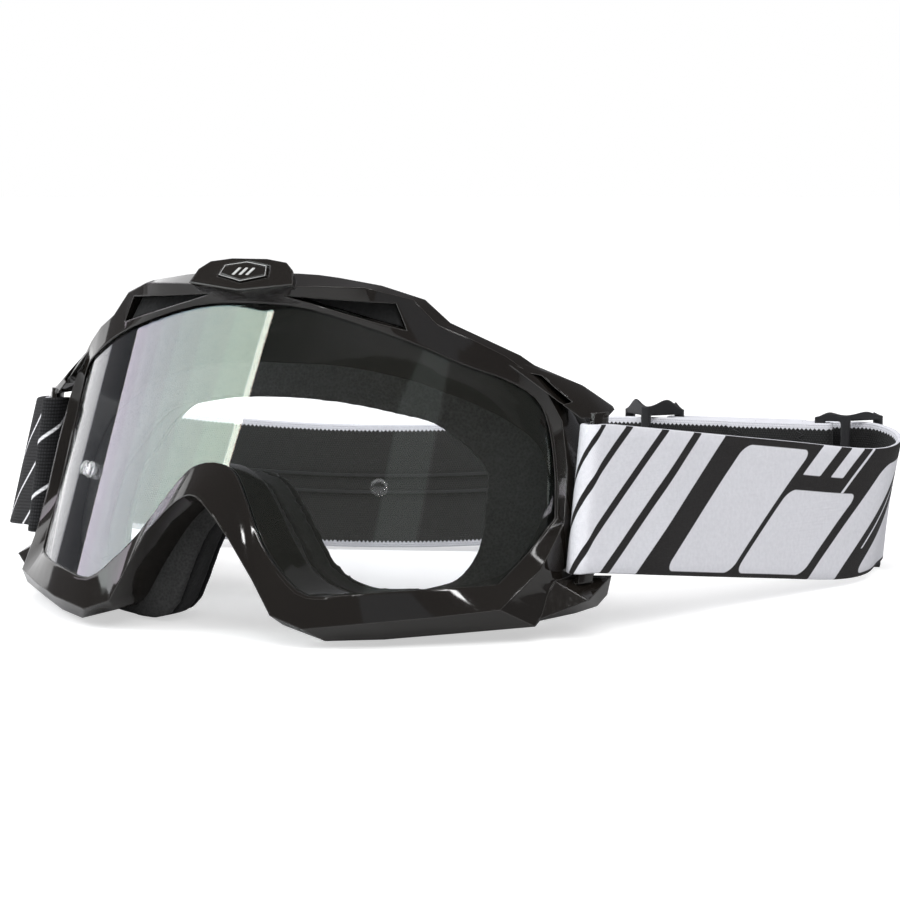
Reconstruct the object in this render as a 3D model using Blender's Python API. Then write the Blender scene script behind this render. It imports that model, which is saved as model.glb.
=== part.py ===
"""Motorcycle goggles: a faceted frame with a clear lens, three-layer face foam and a webbing strap with two sliders.

Units are millimetres in the tables below and metres in the scene. The wearer looks along -Y, +X is the wearer's
left, +Z is up, and the goggles stand on their cheek foam and on the two sliders of the strap, at Z = 0.
"""

import math
from functools import partial

import bmesh
import bpy
from mathutils import Matrix, Vector

MM = 0.001
GAP = 0.35
FLOOR_CENTRE = (0.0, 80.1, 0.0)

# Lens: a sheet bent about a leaning axis, so it is straight along the lean and curved across.
LENS_FRONT_Y = -36.7
LENS_FOOT_Z = 15.0
LENS_LEAN = 0.45
LENS_BEND = 0.00345
LENS_WRAP = 4.4e-7
LENS_THICKNESS = 0.9
LENS_BITE = 2.0
GROOVE_DEPTH = 2.4
LIP_THICKNESS = 1.1

# Strap webbing and its sliders.
WEB_WIDTH = 44.0
WEB_THICKNESS = 1.6
LAYER_OFFSET = 3.4
SLIDER_LENGTH = 21.0
SLIDER_HEIGHT = 56.0
SLIDER_BAR = 2.4
SLIDER_BAR_WIDTH = 3.2
SLIDER_END_BAR = 8.8
STRAP_REAR_HEIGHT = 28.0
SLIDER_TRAVEL = 20.0
STRAP_END_GAP = SLIDER_END_BAR + SLIDER_TRAVEL + 2.2

# Outrigger bars that the strap loops round.
BAR_CENTRE = Vector((97.2, 30.5, 40.0))
BAR_LEAN = Vector((0.0, 0.2145, 0.9767))
BAR_RUN = Vector((0.28, 0.96, 0.0))
BAR_LENGTH = 6.4
BAR_THICKNESS = 3.2
STRAP_HINGE = (0.0, 30.5, 40.0)

# Stations round one half of the frame, from the middle of the brow to the middle of the nose arch.
# Each row: rim edge (x, z), crease, outer edge, rear outer edge, face opening (x, y, z each).
STATIONS = (
    ((0.0, 95.7), (0.0, -5.5, 99.8), (0.0, 4.0, 104.5), (0.0, 24.0, 98.0), (0.0, 19.0, 76.5)),
    ((20.0, 94.4), (19.0, -3.8, 101.2), (20.0, 5.5, 104.2), (20.0, 25.5, 95.0), (20.0, 20.5, 76.0)),
    ((41.0, 88.6), (38.0, 1.0, 101.0), (40.0, 7.5, 101.4), (41.0, 29.0, 87.5), (40.0, 24.0, 72.5)),
    ((53.0, 84.2), (50.0, 8.5, 97.5), (51.5, 13.0, 97.3), (53.0, 32.0, 81.5), (50.0, 27.0, 69.0)),
    ((60.0, 80.8), (57.0, 10.5, 90.2), (58.5, 15.5, 90.6), (59.0, 34.0, 78.5), (56.0, 29.0, 66.8)),
    ((67.0, 77.4), (65.5, 15.5, 86.0), (67.0, 20.5, 86.0), (67.0, 37.0, 74.5), (62.0, 31.5, 64.0)),
    ((74.0, 74.0), (73.5, 21.5, 81.0), (75.5, 27.0, 81.0), (74.5, 40.0, 70.8), (69.0, 34.0, 60.0)),
    ((80.5, 68.5), (82.0, 27.5, 73.5), (84.0, 32.5, 74.0), (82.5, 43.5, 65.5), (75.5, 36.0, 55.0)),
    ((84.0, 60.0), (88.0, 29.5, 62.0), (88.6, 35.5, 62.0), (88.0, 45.5, 57.0), (79.0, 36.0, 49.5)),
    ((86.6, 47.0), (91.0, 27.0, 48.0), (91.3, 34.0, 48.0), (91.3, 44.0, 47.0), (81.0, 34.0, 42.0)),
    ((88.2, 34.0), (92.2, 22.5, 33.0), (92.6, 30.0, 33.0), (92.2, 39.0, 34.0), (81.0, 30.0, 33.0)),
    ((84.5, 24.6), (89.5, 12.5, 20.5), (91.6, 21.0, 16.4), (91.5, 34.0, 20.0), (79.0, 24.0, 24.0)),
    ((80.2, 16.7), (84.0, -2.5, 10.5), (90.0, 8.0, 4.6), (86.0, 26.0, 8.5), (74.0, 16.0, 17.0)),
    ((66.0, 16.6), (69.0, -15.5, 9.0), (71.5, -7.5, 3.4), (70.0, 11.0, 4.0), (62.0, 4.0, 14.0)),
    ((52.0, 16.0), (53.5, -27.5, 7.8), (56.0, -20.0, 2.4), (55.0, -1.0, 3.0), (50.0, -4.0, 12.5)),
    ((38.0, 15.2), (37.5, -34.5, 6.0), (42.0, -29.0, 2.2), (41.0, -10.0, 3.0), (39.0, -11.0, 13.5)),
    ((29.4, 20.7), (27.6, -35.7, 9.4), (29.0, -30.5, 6.0), (30.0, -14.5, 6.5), (31.0, -15.0, 18.5)),
    ((21.0, 29.3), (21.7, -35.6, 19.1), (21.5, -30.5, 18.0), (22.0, -15.0, 18.0), (24.5, -15.5, 27.0)),
    ((12.4, 42.1), (14.2, -36.2, 30.5), (13.0, -30.5, 30.0), (13.5, -13.5, 30.5), (16.0, -13.0, 39.0)),
    ((7.0, 48.4), (6.0, -35.0, 38.8), (5.5, -29.5, 37.8), (6.5, -11.0, 37.5), (8.5, -10.0, 45.5)),
    ((0.0, 50.3), (0.0, -34.0, 42.0), (0.0, -28.5, 40.8), (0.0, -10.0, 40.5), (0.0, -9.0, 48.5)),
)
RIM_CORNERS = (10, 12)
OUTER_CORNERS = tuple(range(2, 19))

# Face foam: how far the inner edge of the padding reaches past the face opening, and how deep each layer is.
FOAM_INNER = (
    (0.0, 66.0), (20.0, 65.0), (38.0, 62.0), (46.0, 60.0), (50.5, 57.5), (55.0, 54.0), (59.5, 50.0), (63.0, 45.0),
    (64.5, 40.5), (65.5, 35.5), (66.0, 30.0), (65.5, 22.5), (62.0, 15.8), (53.0, 12.6), (45.0, 11.8), (37.5, 12.6),
    (30.0, 17.6), (24.0, 26.0), (16.0, 36.5), (9.0, 42.5), (0.0, 45.0),
)
FOAM_OUTER = (
    (0.0, 98.8), (20.0, 95.8), (41.4, 88.2), (53.5, 82.2), (59.6, 79.2), (67.7, 75.2), (75.2, 71.5), (83.2, 66.0),
    (88.8, 57.3), (92.0, 47.2), (93.0, 34.0), (92.2, 19.5), (86.6, 6.6), (70.2, 2.6), (55.0, 1.6), (40.0, 1.0),
    (22.0, 2.2), (13.8, 17.0), (9.6, 27.0), (5.2, 32.5), (0.0, 35.0),
)
FOAM_BASE = 4.0
FOAM_MID = 9.0
FOAM_FLEECE = 3.0
STEPS = 3

GLOSS_BLACK = ("gloss_black", (0.016, 0.014, 0.012), 0.16, 0.0)
CLEAR_LENS = ("clear_lens", (0.92, 0.95, 0.95), 0.03, 0.0)
FOAM_GREY = ("foam_grey", (0.035, 0.036, 0.036), 0.95, 0.0)
FLEECE_BLACK = ("fleece_black", (0.014, 0.014, 0.015), 1.0, 0.0)
WEBBING = ("webbing", (0.70, 0.70, 0.72), 0.85, 0.0)
SLIDER_BLACK = ("slider_black", (0.020, 0.020, 0.020), 0.45, 0.0)
SILICONE = ("silicone", (0.25, 0.25, 0.25), 0.35, 0.0)


def clear_scene():
    """Empties the scene and returns the collections for the parts and for the cutters."""
    for item in list(bpy.data.objects):
        bpy.data.objects.remove(item, do_unlink=True)
    made = []
    for name in ("motorcycle_goggles", "cutters"):
        collection = bpy.data.collections.new(name)
        bpy.context.scene.collection.children.link(collection)
        made.append(collection)
    return made


PARTS, CUTTERS = clear_scene()


def material(look, name):
    """A Principled material of one part: the look is (name, colour, roughness, metallic)."""
    made = bpy.data.materials.new(f"{look[0]}_{name}")
    made.use_nodes = True
    shader = made.node_tree.nodes["Principled BSDF"]
    shader.inputs["Base Color"].default_value = (*look[1], 1.0)
    shader.inputs["Roughness"].default_value = look[2]
    shader.inputs["Metallic"].default_value = look[3]
    return made


def mesh_object(name, build, look, collection=None, origin=(0.0, 0.0, 0.0)):
    """An object from a bmesh that build(bm) fills in millimetres, with its origin at a table point."""
    bm = bmesh.new()
    build(bm)
    bmesh.ops.translate(bm, vec=-Vector(origin), verts=bm.verts)
    bmesh.ops.scale(bm, vec=(MM, MM, MM), verts=bm.verts)
    bmesh.ops.recalc_face_normals(bm, faces=bm.faces)
    mesh = bpy.data.meshes.new(name)
    bm.to_mesh(mesh)
    bm.free()
    mesh.shade_smooth()
    mesh.set_sharp_from_angle(angle=math.radians(24))
    item = bpy.data.objects.new(name, mesh)
    item.location = (Vector(origin) - Vector(FLOOR_CENTRE)) * MM
    (collection or PARTS).objects.link(item)
    if look:
        mesh.materials.append(material(look, name))
    else:
        item.hide_render = True
        item.display_type = "WIRE"
    return item


def hull(name, points, look=None, origin=(0.0, 0.0, 0.0)):
    """The convex solid round a few points, a cutter or a helper when it has no look."""

    def build(bm):
        for point in points:
            bm.verts.new(point)
        bmesh.ops.convex_hull(bm, input=bm.verts)

    return mesh_object(name, build, look, PARTS if look else CUTTERS, origin)


def combine(item, other, operation):
    """Joins or cuts item with a helper object."""
    boolean = item.modifiers.new(other.name, "BOOLEAN")
    boolean.operation = operation
    boolean.object = other


def mirrored(points):
    return [(-x, y, z) for x, y, z in points]


def curve_through(points, corners, steps, even_ends=True):
    """Smooth samples through the points of a half outline, sharp at the corner indices."""
    points = [Vector(p) for p in points]
    flip = Vector((-1.0,) + (1.0,) * (len(points[0]) - 1))

    def neighbour(index):
        if index < 0:
            return points[1] * flip if even_ends else points[0]
        if index >= len(points):
            return points[-2] * flip if even_ends else points[-1]
        return points[index]

    def tangent(index, forward):
        if index in corners:
            if forward:
                return neighbour(index + 1) - points[index]
            return points[index] - neighbour(index - 1)
        return (neighbour(index + 1) - neighbour(index - 1)) * 0.5

    samples = []
    for index in range(len(points) - 1):
        start, end = points[index], points[index + 1]
        leave, arrive = tangent(index, True), tangent(index + 1, False)
        for step in range(steps):
            t = step / steps
            samples.append(
                start * (2 * t**3 - 3 * t**2 + 1)
                + leave * (t**3 - 2 * t**2 + t)
                + end * (3 * t**2 - 2 * t**3)
                + arrive * (t**3 - t**2)
            )
    samples.append(points[-1].copy())
    return samples


def full_ring(half):
    """The closed ring from a half outline whose ends lie on the middle plane."""
    flip = Vector((-1.0,) + (1.0,) * (len(half[0]) - 1))
    return half + [point * flip for point in reversed(half[1:-1])]


def lens_y(x, z):
    """The front surface of the lens."""
    return LENS_FRONT_Y + LENS_LEAN * (z - LENS_FOOT_Z) + LENS_BEND * x**2 + LENS_WRAP * x**4


def rim_outline(distance, steps=STEPS):
    """The rim's edge in the XZ plane, moved outward from the lens opening, as a closed ring."""
    ring = full_ring(curve_through([row[0] for row in STATIONS], RIM_CORNERS, steps))
    moved = []
    for index, point in enumerate(ring):
        along = ring[(index + 1) % len(ring)] - ring[index - 1]
        outward = Vector((-along.y, along.x)).normalized()
        moved.append(point + outward * distance)
    return moved


def rim_rail(distance, depth):
    """A rail that follows the rim: moved outward by distance and back from the lens's front by depth."""
    return [Vector((p.x, lens_y(p.x, p.y) + depth, p.y)) for p in rim_outline(distance)]


def station_rail(column, corners, steps=STEPS):
    return full_ring(curve_through([row[column] for row in STATIONS], corners, steps))


def blend_rails(first, second, share):
    return [a.lerp(b, share) for a, b in zip(first, second)]


def loft(bm, rails, turned_bands=()):
    """A closed ring of triangle pairs between rails, the last joined to the first."""
    rows = [[bm.verts.new(point) for point in rail] for rail in rails]
    count = len(rows[0])
    for band, (row, following) in enumerate(zip(rows, rows[1:] + rows[:1])):
        for index in range(count):
            after = (index + 1) % count
            a, b, c, d = row[index], row[after], following[after], following[index]
            pair = ((a, b, c), (a, c, d)) if band in turned_bands else ((a, b, d), (b, c, d))
            for face in pair:
                bm.faces.new(face)


def frame_rails():
    seat = rim_rail(0.3, LENS_THICKNESS + GAP)
    opening = station_rail(4, ())
    return [
        rim_rail(0.0, -GAP),
        rim_rail(0.0, -GAP - 0.6 * LIP_THICKNESS),
        rim_rail(0.6, -GAP - LIP_THICKNESS),
        station_rail(1, OUTER_CORNERS),
        station_rail(2, OUTER_CORNERS),
        station_rail(3, ()),
        opening,
        [point + Vector((0, 0.6, 0)) for point in blend_rails(opening, seat, 0.46)],
        blend_rails(opening, seat, 0.54),
        seat,
        rim_rail(GROOVE_DEPTH, LENS_THICKNESS + GAP),
        rim_rail(GROOVE_DEPTH, -GAP),
    ]


def arm_points():
    """Corner points of the two arms that hold the outrigger bar of the wearer's left side."""
    top = (
        (70, 20, 82.0), (72, 32, 79.8), (87.5, 33, 68.5), (87.5, 40, 66), (91, 37.2, 72.0), (88, 41, 71.8),
        (98.8, 42.6, 64.8), (96.5, 46.5, 65.4), (99.6, 35.5, 62.9), (95.2, 47.0, 62.9), (93.6, 30.5, 62.9),
    )
    bottom = (
        (88, 9, 5.4), (84, 20, 6.5), (91.4, 18, 16.6), (90, 30, 16.6), (101.4, 35.5, 16.6), (101.8, 19.0, 11.6),
        (101.2, 33, 11.2), (99.6, 29.5, 8.2), (95.2, 23.5, 6.6), (98.0, 36.0, 11.5),
    )
    return top, bottom


def bar_points():
    """The eight-sided outrigger bar of the wearer's left side."""
    across = BAR_LEAN.cross(BAR_RUN).normalized()
    points = []
    for end in (-25.0, 25.0):
        for run, side in ((1, 0.5), (0.6, 1), (-0.6, 1), (-1, 0.5), (-1, -0.5), (-0.6, -1), (0.6, -1), (1, -0.5)):
            offset = BAR_RUN * (run * BAR_LENGTH / 2) + across * (side * BAR_THICKNESS / 2)
            points.append(tuple(BAR_CENTRE + BAR_LEAN * end + offset))
    return points


BADGE_CENTRE = Vector((0.0, -2.6, 103.9))
BADGE_UP = Vector((0.0, 0.6, 0.8))
BADGE_OUT = Vector((0.0, -0.8, 0.6))
BADGE_OUTLINE = ((0.0, 3.9), (7.9, 2.4), (8.8, -1.6), (0.0, -3.9), (-8.8, -1.6), (-7.9, 2.4))
BLOCK_OUTLINE = ((-6, 5.0), (6, 5.0), (13.2, 3.8), (16.4, 1.0), (18.0, -4.0), (0, -6.4), (-18.0, -4.0))
BLOCK_OUTLINE += ((-16.4, 1.0), (-13.2, 3.8))


def badge_point(u, v, out):
    return BADGE_CENTRE + Vector((u, 0, 0)) + BADGE_UP * v + BADGE_OUT * out


def badge_prism(outline, low, high, shrink=0.0, high_shrink=0.0):
    """Corner points of a prism on the badge's slanted plane."""
    points = []
    for out, less in ((low, shrink), (high, high_shrink)):
        for u, v in outline:
            points.append(tuple(badge_point(u - math.copysign(less, u) * (u != 0), v - math.copysign(less, v), out)))
    return points


VENT_CORNERS = ((13.0, 98.2), (46.0, 96.4), (49.5, 88.6))
SIDE_VENT_CORNERS = ((79.5, 76.0), (82.0, 75.2), (90.8, 67.6), (88.6, 66.8))


def vent_points(corners, front, back, share=1.0):
    """A prism under the outline's corners, between two depths from the lens's leaning surface."""
    middle = Vector((sum(c[0] for c in corners), sum(c[1] for c in corners))) / len(corners)
    points = []
    for corner in corners:
        x, z = middle.lerp(Vector(corner), share)
        points.append((x, lens_y(x, z) + front, z))
        points.append((x, lens_y(x, z) + back, z))
    return points


def make_frame():
    frame = mesh_object("frame", partial(loft, rails=frame_rails()), GLOSS_BLACK)
    for side, flip in (("left", False), ("right", True)):
        top, bottom = arm_points()
        for label, points in (("arm_top", top), ("arm_bottom", bottom), ("arm_bar", bar_points())):
            helper = hull(f"{label}_{side}", mirrored(points) if flip else points)
            combine(frame, helper, "UNION")
        points = vent_points(VENT_CORNERS, -30.0, 1.6)
        combine(frame, hull(f"vent_cut_{side}", mirrored(points) if flip else points), "DIFFERENCE")
        points = vent_points(SIDE_VENT_CORNERS, -30.0, 1.2)
        combine(frame, hull(f"side_vent_cut_{side}", mirrored(points) if flip else points), "DIFFERENCE")
    block = hull("brow_block", badge_prism(BLOCK_OUTLINE, -4.0, 1.6, -1.0, 0.0))
    combine(frame, block, "UNION")
    combine(frame, hull("badge_pocket", badge_prism(BADGE_OUTLINE, 0.7, 5.0)), "DIFFERENCE")
    return frame


def make_lens():
    """The lens: columns between its lower and upper edges, straight along the lean."""
    outline = rim_outline(LENS_BITE)
    half = outline[: len(outline) // 2 + 1]
    widest = max(range(len(half)), key=lambda index: half[index].x)
    upper = half[: widest + 1]
    lower = half[widest:][::-1]

    def height(chain, x):
        for start, end in zip(chain, chain[1:]):
            if start.x <= x <= end.x:
                return start.y + (end.y - start.y) * (x - start.x) / max(end.x - start.x, 1e-9)
        return chain[-1].y

    places = sorted({round(p.x, 2) for p in upper[1:-1]} | {round(p.x, 2) for p in lower[1:-1]})
    columns = [0.0]
    for x in places:
        if x - columns[-1] > 0.6:
            columns.append(x)
    tip = half[widest]

    def build(bm):
        def pair(x, z):
            y = lens_y(x, z)
            return bm.verts.new((x, y, z)), bm.verts.new((x, y + LENS_THICKNESS, z))

        signed = [-x for x in reversed(columns[1:])] + columns
        low = [pair(x, height(lower, abs(x))) for x in signed]
        high = [pair(x, height(upper, abs(x))) for x in signed]
        for index in range(len(signed) - 1):
            a, b, c, d = low[index], low[index + 1], high[index + 1], high[index]
            bm.faces.new((a[0], b[0], c[0], d[0]))
            bm.faces.new((d[1], c[1], b[1], a[1]))
            bm.faces.new((a[1], b[1], b[0], a[0]))
            bm.faces.new((d[0], c[0], c[1], d[1]))
        for side, index in ((-1, 0), (1, -1)):
            end = pair(side * tip.x, tip.y)
            a, d = low[index], high[index]
            bm.faces.new((a[0], end[0], d[0]))
            bm.faces.new((a[1], d[1], end[1]))
            bm.faces.new((a[0], a[1], end[1], end[0]))
            bm.faces.new((d[1], d[0], end[0], end[1]))

    return mesh_object("lens", build, CLEAR_LENS)


def turned(name, profile, place, facing, look, segments=24):
    """A solid turned round the facing direction from (radius, height) points."""

    def build(bm):
        rings = []
        for radius, height in profile:
            ring = []
            for index in range(segments):
                angle = 2 * math.pi * index / segments
                ring.append(bm.verts.new((radius * math.cos(angle), radius * math.sin(angle), height)))
            rings.append(ring)
        for ring, following in zip(rings, rings[1:]):
            for index in range(segments):
                after = (index + 1) % segments
                bm.faces.new((ring[index], ring[after], following[after], following[index]))
        bm.faces.new(rings[0])
        bm.faces.new(rings[-1])
        turn = Vector((0, 0, 1)).rotation_difference(facing).to_matrix().to_4x4()
        bmesh.ops.transform(bm, matrix=Matrix.Translation(place) @ turn, verts=bm.verts)

    return mesh_object(name, build, look)


POST_X = 50.0
POST_Z = 44.5


def lens_normal(x):
    slope = 2 * LENS_BEND * x + 4 * LENS_WRAP * x**3
    return Vector((slope, -1.0, LENS_LEAN)).normalized()


def make_tearoff_posts():
    profile = ((2.6, 0.3), (2.6, 0.7), (1.5, 0.9), (1.5, 1.8), (2.4, 2.2), (2.4, 2.7), (1.6, 3.1))
    for name, x in (("tearoff_post_left", POST_X), ("tearoff_post_right", -POST_X)):
        place = Vector((x, lens_y(x, POST_Z), POST_Z))
        turned(name, profile, place, lens_normal(x), CLEAR_LENS)


def make_face_foam():
    """Three rings of padding stacked toward the face, each reaching past the face opening."""
    flange = station_rail(3, ())
    opening = station_rail(4, ())
    outer = [Vector((x, p.y, z)) for p, (x, z) in zip(flange, full_ring(curve_through(FOAM_OUTER, (), STEPS)))]
    inner = []
    for near, far, (x, z) in zip(flange, opening, full_ring(curve_through(FOAM_INNER, (), STEPS))):
        reach = math.hypot(far.x - near.x, far.z - near.z)
        share = math.hypot(x - near.x, z - near.z) / reach
        inner.append(Vector((x, near.y + (far.y - near.y) * share * 0.9, z)))
    layers = (
        ("face_foam_base", FOAM_BASE, FOAM_GREY),
        ("face_foam_mid", FOAM_MID, FOAM_GREY),
        ("face_fleece", FOAM_FLEECE, FLEECE_BLACK),
    )
    front = GAP
    for name, depth, look in layers:
        back = front + depth
        rails = []
        for rail, shift in ((outer, front), (outer, back), (flange, back), (opening, back), (inner, back),
                            (inner, front), (opening, front), (flange, front)):
            rails.append([point + Vector((0, shift, 0)) for point in rail])
        mesh_object(name, partial(loft, rails=rails, turned_bands=(5, 6, 7)), look)
        front = back + GAP


REAR_START = Vector((15.0, 171.3))
REAR_END = Vector((128.0, 187.2))
REAR_RUN = (REAR_END - REAR_START).normalized()
REAR_OUT = Vector((-REAR_RUN.y, REAR_RUN.x))
SLIDER_1_AT = 37.5
SLIDER_2_AT = 106.0


def slide_origin(along):
    """A point on the sliders' sliding line at half height."""
    plan = rear_point(along, 0.0)
    return (plan.x, plan.y, STRAP_REAR_HEIGHT)


def rear_point(along, out):
    """A plan point on the straight rear run: distance along it and distance outward."""
    return REAR_START + REAR_RUN * along + REAR_OUT * out


def bar_point(along, out):
    """A plan point by the left outrigger bar: distance back along the strap and distance outward."""
    run = Vector((BAR_RUN.x, BAR_RUN.y)).normalized()
    return Vector((BAR_CENTRE.x, BAR_CENTRE.y)) + run * along + Vector((run.y, -run.x)) * out


def bar_loop(long_side):
    """Plan points, height and two leans of the webbing from its sewn end, round the bar and back outside it."""
    route = [(32, 1.1), (22, 1.1), (13, 1.0)] if long_side else [(11, -0.6)]
    route += [(7.5, -1.6), (3, -3.0), (-1.5, -3.0)]
    route += [(-2.5 - 3.0 * math.sin(angle), -3.0 * math.cos(angle)) for angle in (0.5, 1.1, math.pi / 2, 2.04, 2.64)]
    route += [(-1.5, 3.0), (3, 3.0), (8, 3.0)]
    if long_side:
        route += [(14, 3.0), (22, 3.0), (32, 3.0)]
    lean = BAR_LEAN.y / BAR_LEAN.z
    return [(*bar_point(along, out), BAR_CENTRE.z - 0.13 * max(along, 0), lean, 0.0) for along, out in route]


def left_route():
    """The wearer's left half of the strap: bar loop, side run, right fold and rear run's outer layer."""
    route = bar_loop(True)
    route += [(115.0, 85.0, 32.5, 0.22, 0.0), (124.0, 117.0, 28.2, 0.24, 0.03), (131.5, 143.0, 24.6, 0.28, 0.07)]
    route += [(135.6, 158.0, 23.2, 0.30, 0.10), (137.6, 169.0, 23.4, 0.28, 0.12), (136.8, 178.5, 24.8, 0.22, 0.12)]
    route += [(134.2, 185.6, 26.6, 0.08, 0.05)]
    for along in (113.0, 100.0, SLIDER_1_AT + STRAP_END_GAP):
        route.append((*rear_point(along, LAYER_OFFSET), STRAP_REAR_HEIGHT, 0.0, 0.0))
    return route


def right_route():
    """The wearer's right half: bar loop, side run, left fold and the rear run's inner layer."""
    route = [(-x, y, z, lean, 0.0) for x, y, z, lean, _ in bar_loop(False)]
    route += [(-113.0, 47.0, 38.5, 0.22, 0.04), (-126.0, 57.0, 37.0, 0.22, 0.10), (-135.2, 69.0, 35.2, 0.22, 0.14)]
    route += [(-137.7, 83.0, 33.6, 0.22, 0.12), (-136.6, 97.0, 32.0, 0.20, 0.08), (-129.0, 109.0, 30.2, 0.15, 0.04)]
    route += [(-116.0, 118.6, 28.0, 0.10, 0.0), (-96.0, 128.0, 25.4, 0.05, 0.0), (-62.0, 142.5, 23.2, 0.02, 0.0)]
    route += [(-30.0, 155.0, 23.2, 0.0, 0.0), (-4.0, 164.4, 24.6, 0.0, 0.0)]
    for along in (8.0, 30.0, 55.0, SLIDER_2_AT - STRAP_END_GAP):
        height = STRAP_REAR_HEIGHT - max(0.0, 20.0 - along) * 0.08
        route.append((*rear_point(along, -LAYER_OFFSET), height, 0.0, 0.0))
    return route


def sample_route(route, steps):
    return curve_through(route, (), steps, even_ends=False)


def ribbon(bm, samples, width, thickness, centre=0.0):
    """Webbing on edge along samples (x, y, height, lean back, lean left): a closed strip of four rails."""
    rings = []
    for index, sample in enumerate(samples):
        ahead = samples[min(index + 1, len(samples) - 1)]
        behind = samples[max(index - 1, 0)]
        run = Vector((ahead.x - behind.x, ahead.y - behind.y)).normalized()
        out = Vector((run.y, -run.x, 0.0)) * (thickness / 2)
        rise = Vector((sample[4], sample[3], 1.0)).normalized()
        middle = Vector((sample.x, sample.y, sample.z)) + rise * centre
        up = rise * (width / 2)
        rings.append([bm.verts.new(middle + u + o) for u, o in ((up, out), (up, -out), (-up, -out), (-up, out))])
    for ring, following in zip(rings, rings[1:]):
        for index in range(4):
            after = (index + 1) % 4
            bm.faces.new((ring[index], ring[after], following[after], following[index]))
    bm.faces.new(rings[0][::-1])
    bm.faces.new(rings[-1])


def make_straps():
    for name, route in (("strap_left", left_route()), ("strap_right", right_route())):
        samples = sample_route(route, 3)
        build = partial(ribbon, samples=samples, width=WEB_WIDTH, thickness=WEB_THICKNESS)
        mesh_object(name, build, WEBBING, origin=STRAP_HINGE)


def tail_route(bar_along, layer, reach, side):
    """The sewn loop round a slider's end bar: both legs run alongside the strap's own end."""
    leg = SLIDER_BAR / 2 + GAP + WEB_THICKNESS / 2
    plan = [(reach, leg), (reach * 0.6, leg), (reach * 0.25, leg), (1.0, leg)]
    plan += [(-leg * math.sin(angle) - 1.4, leg * math.cos(angle)) for angle in (0.6, 1.2, math.pi / 2, 1.94, 2.54)]
    plan += [(1.0, -leg), (reach * 0.25, -leg), (reach * 0.6, -leg), (reach, -leg)]
    route = []
    for along, out in plan:
        route.append((*rear_point(bar_along + side * along, layer + out), STRAP_REAR_HEIGHT, 0.0, 0.0))
    return route


def make_tails():
    tails = (
        ("strap_left_end_loop", SLIDER_1_AT, LAYER_OFFSET, 44.0, 1),
        ("strap_right_end_loop", SLIDER_2_AT, -LAYER_OFFSET, 31.0, -1),
    )
    for name, slider_at, layer, reach, side in tails:
        samples = sample_route(tail_route(slider_at + side * SLIDER_END_BAR, layer, reach, side), 2)
        build = partial(ribbon, samples=samples, width=WEB_WIDTH, thickness=WEB_THICKNESS)
        mesh_object(name, build, WEBBING, origin=slide_origin(slider_at))


def box_points(low, high, place):
    """Corner points of a box between two (along, out, height) corners, put in place by a function."""
    return [place(a, o, h) for a in (low[0], high[0]) for o in (low[1], high[1]) for h in (low[2], high[2])]


def make_slider(name, middle, bars):
    """A three-bar slider: bars is the outward offset of its first end bar, middle bar and last end bar."""

    def place(along, out, height):
        plan = rear_point(middle + along, out)
        return (plan.x, plan.y, height)

    half = SLIDER_LENGTH / 2
    inner = (SLIDER_HEIGHT - WEB_WIDTH) / 2 - 0.4
    thick = SLIDER_BAR / 2
    spots = ((-SLIDER_END_BAR, bars[0]), (0.0, bars[1]), (SLIDER_END_BAR, bars[2]))
    first = None
    pieces = []
    for along, out in spots:
        low = (along - SLIDER_BAR_WIDTH / 2, out - thick, 0.0)
        high = (along + SLIDER_BAR_WIDTH / 2, out + thick, SLIDER_HEIGHT)
        pieces.append(box_points(low, high, place))
    for bottom in (0.0, SLIDER_HEIGHT - inner):
        top = bottom + inner
        for (along, out), (next_along, next_out) in zip(spots, spots[1:]):
            ends = []
            for position, offset, reach in ((along, out, -1), (next_along, next_out, 1)):
                edge = position + reach * SLIDER_BAR_WIDTH * 0.4
                for height in (bottom + 0.1, top - 0.1):
                    ends.append(place(edge, offset - thick * 0.95, height))
                    ends.append(place(edge, offset + thick * 0.95, height))
            pieces.append(ends)
    for number, points in enumerate(pieces):
        if number == 0:
            first = hull(name, points, SLIDER_BLACK, slide_origin(middle))
        else:
            combine(first, hull(f"{name}_piece_{number}", points), "UNION")
    return first


def make_sliders():
    make_slider("slider_1", SLIDER_1_AT, (LAYER_OFFSET, -LAYER_OFFSET - 4.4, LAYER_OFFSET))
    make_slider("slider_2", SLIDER_2_AT, (-LAYER_OFFSET, -LAYER_OFFSET, LAYER_OFFSET + 4.4))


def make_grip_lines():
    """Two silicone beads along the inside of the rear strap."""
    samples = [sample for sample in sample_route(right_route(), 3) if sample.y > 126.0 and sample.x < 10.0]
    inward = []
    for index, sample in enumerate(samples):
        ahead = samples[min(index + 1, len(samples) - 1)]
        behind = samples[max(index - 1, 0)]
        run = Vector((ahead.x - behind.x, ahead.y - behind.y)).normalized()
        offset = WEB_THICKNESS / 2 + 0.3 + 0.25
        shifted = sample.copy()
        shifted.x += run.y * offset
        shifted.y -= run.x * offset
        inward.append(shifted)
    for name, height in (("silicone_line_upper", 4.0), ("silicone_line_lower", -2.0)):
        build = partial(ribbon, samples=inward, width=1.0, thickness=0.5, centre=height)
        mesh_object(name, build, SILICONE, origin=STRAP_HINGE)


def make_trim():
    hull("brow_badge", badge_prism(BADGE_OUTLINE, 0.7 + GAP, 2.2, GAP, GAP + 0.4), GLOSS_BLACK)
    for side, flip in (("left", False), ("right", True)):
        points = vent_points(VENT_CORNERS, -0.3, 0.9, 0.84)
        hull(f"brow_vent_foam_{side}", mirrored(points) if flip else points, FOAM_GREY)
        points = vent_points(SIDE_VENT_CORNERS, -0.3, 0.6, 0.7)
        hull(f"side_vent_foam_{side}", mirrored(points) if flip else points, FOAM_GREY)


make_frame()
make_lens()
make_tearoff_posts()
make_face_foam()
make_straps()
make_tails()
make_sliders()
make_grip_lines()
make_trim()
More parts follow.
